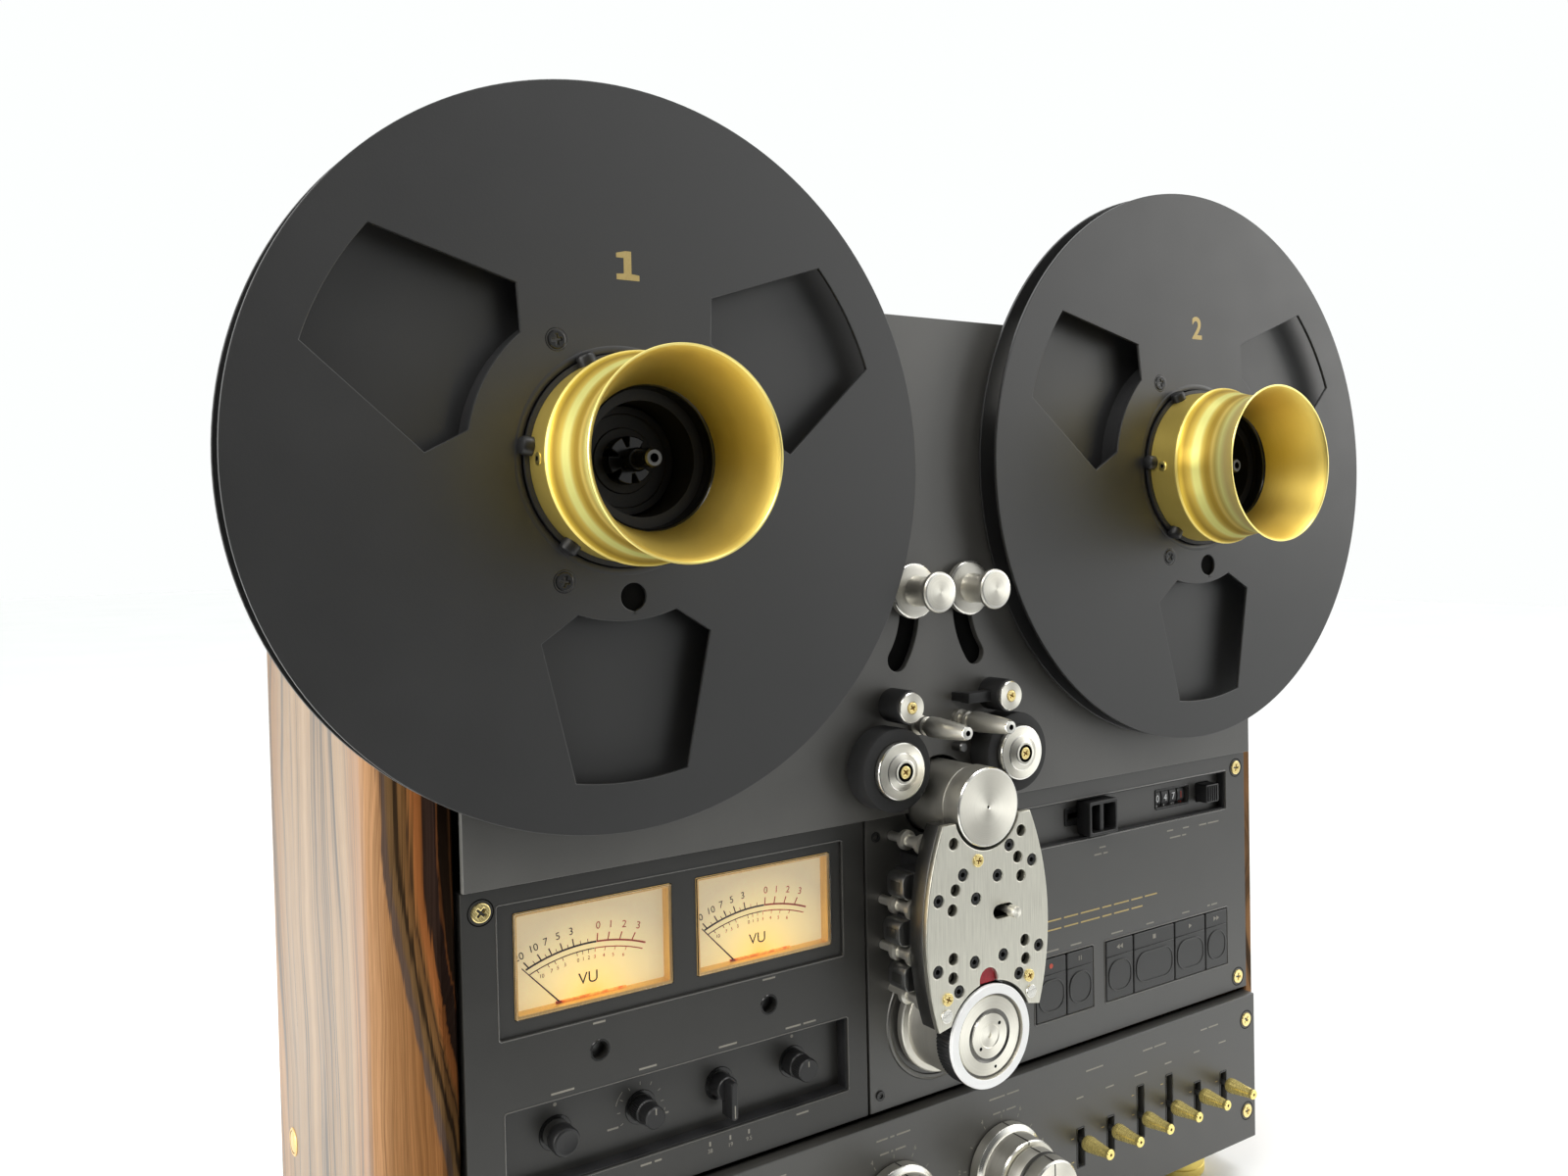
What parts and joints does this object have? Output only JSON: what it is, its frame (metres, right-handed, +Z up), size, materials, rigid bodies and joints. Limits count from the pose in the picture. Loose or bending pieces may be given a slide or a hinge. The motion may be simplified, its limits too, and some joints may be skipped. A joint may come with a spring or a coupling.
{
  "type": "reel to reel tape deck",
  "caption": "Upright tape deck with large black metal reels on gold bell adapters, a closed-loop head block round one capstan, meters, logic keys and polished wood sides",
  "frame": {"origin": "on the ground under the middle of the deck and its reels", "axes": "+X to the right seen from the front, -Y out of the front, +Z up"},
  "size_m": [0.5786, 0.283, 0.5149],
  "materials": {
    "rosewood": "polished dark figured veneer",
    "panel": "warm grey-black satin paint",
    "reel": "black anodised satin",
    "gold": "gold satin plating",
    "silver": "bright turned face",
    "black": "fine matt black",
    "rubber": "matt black",
    "steel": "dark zinc plating",
    "dial": "cream, lit from below",
    "glass": "clear moulded cover"
  },
  "bodies": {
    "cabinet": {"side_panel_left": "rosewood", "side_panel_right": "rosewood", "cabinet_shell": "panel", "deck_panel": "panel", "meter_panel": "panel", "head_base_panel": "panel", "control_panel": "panel", "amplifier_panel": "panel", "head_plate": "silver", "head_block": "black", "meter_case": "dial", "meter_window": "glass", "foot_front_left": "gold", "foot_front_right": "gold", "foot_rear_left": "gold", "foot_rear_right": "gold"},
    "reel_drive_left": {"reel_table_left": "black", "bell_adapter_left": "gold", "reel_left": "reel"},
    "tension_arm_left": {"tension_arm_left": "steel"},
    "tension_roller_left": {"tension_roller_left": "silver"},
    "idler_roller_left": {"idler_roller_left": "black"},
    "pinch_arm_left": {"pinch_arm_left": "steel"},
    "pinch_roller_left": {"pinch_roller_left": "rubber"},
    "reel_drive_right": {"reel_table_right": "black", "bell_adapter_right": "gold", "reel_right": "reel"},
    "tension_arm_right": {"tension_arm_right": "steel"},
    "tension_roller_right": {"tension_roller_right": "silver"},
    "idler_roller_right": {"idler_roller_right": "black"},
    "pinch_arm_right": {"pinch_arm_right": "steel"},
    "pinch_roller_right": {"pinch_roller_right": "rubber"},
    "capstan": {"capstan": "silver"},
    "reversing_roller": {"reversing_roller": "silver"},
    "needle_left": {"needle_left": "black"},
    "needle_right": {"needle_right": "black"},
    "button_record": {"button_record": "panel"},
    "button_pause": {"button_pause": "panel"},
    "button_rewind": {"button_rewind": "panel"},
    "button_stop": {"button_stop": "panel"},
    "button_play": {"button_play": "panel"},
    "button_fast_forward": {"button_fast_forward": "panel"},
    "counter_reset": {"counter_reset": "black"},
    "power_button": {"power_button": "black"},
    "pitch_knob": {"pitch_knob": "black"},
    "speed_selector": {"speed_selector": "black"},
    "timer_knob": {"timer_knob": "black"},
    "cue_lever": {"cue_lever": "black"},
    "head_selector": {"head_selector": "silver"},
    "output_knob_rear": {"output_knob_rear": "silver"},
    "output_knob_front": {"output_knob_front": "silver"},
    "line_knob_rear": {"line_knob_rear": "silver"},
    "line_knob_front": {"line_knob_front": "silver"},
    "mic_level_knob": {"mic_level_knob": "silver"},
    "lever_switch_1": {"lever_switch_1": "gold"},
    "lever_switch_2": {"lever_switch_2": "gold"},
    "lever_switch_3": {"lever_switch_3": "gold"},
    "lever_switch_4": {"lever_switch_4": "gold"},
    "lever_switch_5": {"lever_switch_5": "gold"},
    "lever_switch_6": {"lever_switch_6": "gold"}
  },
  "joints": [
    {"name": "reel_spin_left", "type": "hinge", "parent": "cabinet", "child": "reel_drive_left", "pos_m": [-0.1558, -0.0735, 0.3814], "axis": [0, 1, 0], "continuous": true},
    {"name": "tension_swing_left", "type": "hinge", "parent": "cabinet", "child": "tension_arm_left", "pos_m": [-0.0532, -0.07215, 0.32065], "axis": [0, 1, 0], "range_deg": [0, 42], "stiffness_Nm_per_rad": 0.03, "springref_deg": -50},
    {"name": "tension_roller_spin_left", "type": "hinge", "parent": "tension_arm_left", "child": "tension_roller_left", "pos_m": [-0.0155, -0.0735, 0.3279], "axis": [0, 1, 0], "continuous": true},
    {"name": "idler_spin_left", "type": "hinge", "parent": "cabinet", "child": "idler_roller_left", "pos_m": [-0.02775, -0.0735, 0.2802], "axis": [0, 1, 0], "continuous": true},
    {"name": "pinch_swing_left", "type": "hinge", "parent": "cabinet", "child": "pinch_arm_left", "pos_m": [-0.0201, -0.06905, 0.2811], "axis": [0, 1, 0], "range_deg": [-6, 0], "stiffness_Nm_per_rad": 0.6, "springref_deg": 12},
    {"name": "pinch_roller_spin_left", "type": "hinge", "parent": "pinch_arm_left", "child": "pinch_roller_left", "pos_m": [-0.0336, -0.0735, 0.2544], "axis": [0, 1, 0], "continuous": true},
    {"name": "reel_spin_right", "type": "hinge", "parent": "cabinet", "child": "reel_drive_right", "pos_m": [0.1558, -0.0735, 0.3814], "axis": [0, 1, 0], "continuous": true},
    {"name": "tension_swing_right", "type": "hinge", "parent": "cabinet", "child": "tension_arm_right", "pos_m": [0.0532, -0.07215, 0.32065], "axis": [0, 1, 0], "range_deg": [-42, 0], "stiffness_Nm_per_rad": 0.03, "springref_deg": 50},
    {"name": "tension_roller_spin_right", "type": "hinge", "parent": "tension_arm_right", "child": "tension_roller_right", "pos_m": [0.0155, -0.0735, 0.3279], "axis": [0, 1, 0], "continuous": true},
    {"name": "idler_spin_right", "type": "hinge", "parent": "cabinet", "child": "idler_roller_right", "pos_m": [0.02775, -0.0735, 0.2802], "axis": [0, 1, 0], "continuous": true},
    {"name": "pinch_swing_right", "type": "hinge", "parent": "cabinet", "child": "pinch_arm_right", "pos_m": [0.0201, -0.06905, 0.2811], "axis": [0, 1, 0], "range_deg": [0, 6], "stiffness_Nm_per_rad": 0.6, "springref_deg": -12},
    {"name": "pinch_roller_spin_right", "type": "hinge", "parent": "pinch_arm_right", "child": "pinch_roller_right", "pos_m": [0.0336, -0.0735, 0.2544], "axis": [0, 1, 0], "continuous": true},
    {"name": "capstan_spin", "type": "hinge", "parent": "cabinet", "child": "capstan", "pos_m": [0, -0.0735, 0.2374], "axis": [0, 1, 0], "continuous": true},
    {"name": "reversing_spin", "type": "hinge", "parent": "cabinet", "child": "reversing_roller", "pos_m": [0, -0.0735, 0.1402], "axis": [0, 1, 0], "continuous": true},
    {"name": "needle_swing_left", "type": "hinge", "parent": "cabinet", "child": "needle_left", "pos_m": [-0.162, -0.06905, 0.1694], "axis": [0, 1, 0], "range_deg": [0, 86], "stiffness_Nm_per_rad": 0.0003, "springref_deg": -28.65},
    {"name": "needle_swing_right", "type": "hinge", "parent": "cabinet", "child": "needle_right", "pos_m": [-0.0879, -0.06905, 0.1694], "axis": [0, 1, 0], "range_deg": [0, 86], "stiffness_Nm_per_rad": 0.0003, "springref_deg": -28.65},
    {"name": "press_record", "type": "slide", "parent": "cabinet", "child": "button_record", "axis": [0, 1, 0], "range_m": [0, 0.002], "stiffness_N_per_m": 220, "springref_m": -0.002},
    {"name": "press_pause", "type": "slide", "parent": "cabinet", "child": "button_pause", "axis": [0, 1, 0], "range_m": [0, 0.002], "stiffness_N_per_m": 220, "springref_m": -0.002},
    {"name": "press_rewind", "type": "slide", "parent": "cabinet", "child": "button_rewind", "axis": [0, 1, 0], "range_m": [0, 0.002], "stiffness_N_per_m": 220, "springref_m": -0.002},
    {"name": "press_stop", "type": "slide", "parent": "cabinet", "child": "button_stop", "axis": [0, 1, 0], "range_m": [0, 0.002], "stiffness_N_per_m": 220, "springref_m": -0.002},
    {"name": "press_play", "type": "slide", "parent": "cabinet", "child": "button_play", "axis": [0, 1, 0], "range_m": [0, 0.002], "stiffness_N_per_m": 220, "springref_m": -0.002},
    {"name": "press_fast_forward", "type": "slide", "parent": "cabinet", "child": "button_fast_forward", "axis": [0, 1, 0], "range_m": [0, 0.002], "stiffness_N_per_m": 220, "springref_m": -0.002},
    {"name": "press_counter_reset", "type": "slide", "parent": "cabinet", "child": "counter_reset", "axis": [0, 1, 0], "range_m": [0, 0.002], "stiffness_N_per_m": 180, "springref_m": -0.002},
    {"name": "press_power", "type": "slide", "parent": "cabinet", "child": "power_button", "axis": [0, 1, 0], "range_m": [0, 0.0025]},
    {"name": "turn_pitch", "type": "hinge", "parent": "cabinet", "child": "pitch_knob", "pos_m": [-0.1425, -0.0735, 0.1348], "axis": [0, 1, 0], "range_deg": [-140, 140]},
    {"name": "turn_speed", "type": "hinge", "parent": "cabinet", "child": "speed_selector", "pos_m": [-0.1077, -0.0735, 0.1348], "axis": [0, 1, 0], "range_deg": [-32, 32]},
    {"name": "turn_timer", "type": "hinge", "parent": "cabinet", "child": "timer_knob", "pos_m": [-0.0729, -0.0735, 0.1348], "axis": [0, 1, 0], "range_deg": [-45, 45]},
    {"name": "slide_cue", "type": "slide", "parent": "cabinet", "child": "cue_lever", "axis": [1, 0, 0], "range_m": [-0.01, 0]},
    {"name": "slide_head_selector", "type": "slide", "parent": "cabinet", "child": "head_selector", "axis": [1, 0, 0], "range_m": [-0.005, 0]},
    {"name": "turn_output_rear", "type": "hinge", "parent": "cabinet", "child": "output_knob_rear", "pos_m": [0.0317, -0.0735, 0.0642], "axis": [0, 1, 0], "range_deg": [-145, 145]},
    {"name": "turn_output_front", "type": "hinge", "parent": "cabinet", "child": "output_knob_front", "pos_m": [0.0317, -0.0735, 0.0642], "axis": [0, 1, 0], "range_deg": [-145, 145]},
    {"name": "turn_line_rear", "type": "hinge", "parent": "cabinet", "child": "line_knob_rear", "pos_m": [-0.03, -0.0735, 0.0642], "axis": [0, 1, 0], "range_deg": [-145, 145]},
    {"name": "turn_line_front", "type": "hinge", "parent": "cabinet", "child": "line_knob_front", "pos_m": [-0.03, -0.0735, 0.0642], "axis": [0, 1, 0], "range_deg": [-145, 145]},
    {"name": "turn_mic_level", "type": "hinge", "parent": "cabinet", "child": "mic_level_knob", "pos_m": [-0.0917, -0.0735, 0.0642], "axis": [0, 1, 0], "range_deg": [-145, 145]},
    {"name": "tip_lever_1", "type": "hinge", "parent": "cabinet", "child": "lever_switch_1", "pos_m": [0.082, -0.0565, 0.0612], "axis": [1, 0, 0], "range_deg": [0, 18]},
    {"name": "tip_lever_2", "type": "hinge", "parent": "cabinet", "child": "lever_switch_2", "pos_m": [0.1024, -0.0565, 0.0612], "axis": [1, 0, 0], "range_deg": [0, 18]},
    {"name": "tip_lever_3", "type": "hinge", "parent": "cabinet", "child": "lever_switch_3", "pos_m": [0.1238, -0.0565, 0.0612], "axis": [1, 0, 0], "range_deg": [-14, 14]},
    {"name": "tip_lever_4", "type": "hinge", "parent": "cabinet", "child": "lever_switch_4", "pos_m": [0.1449, -0.0565, 0.0612], "axis": [1, 0, 0], "range_deg": [-14, 14]},
    {"name": "tip_lever_5", "type": "hinge", "parent": "cabinet", "child": "lever_switch_5", "pos_m": [0.1664, -0.0565, 0.0612], "axis": [1, 0, 0], "range_deg": [0, 18]},
    {"name": "tip_lever_6", "type": "hinge", "parent": "cabinet", "child": "lever_switch_6", "pos_m": [0.1868, -0.0565, 0.0612], "axis": [1, 0, 0], "range_deg": [0, 18]}
  ]
}
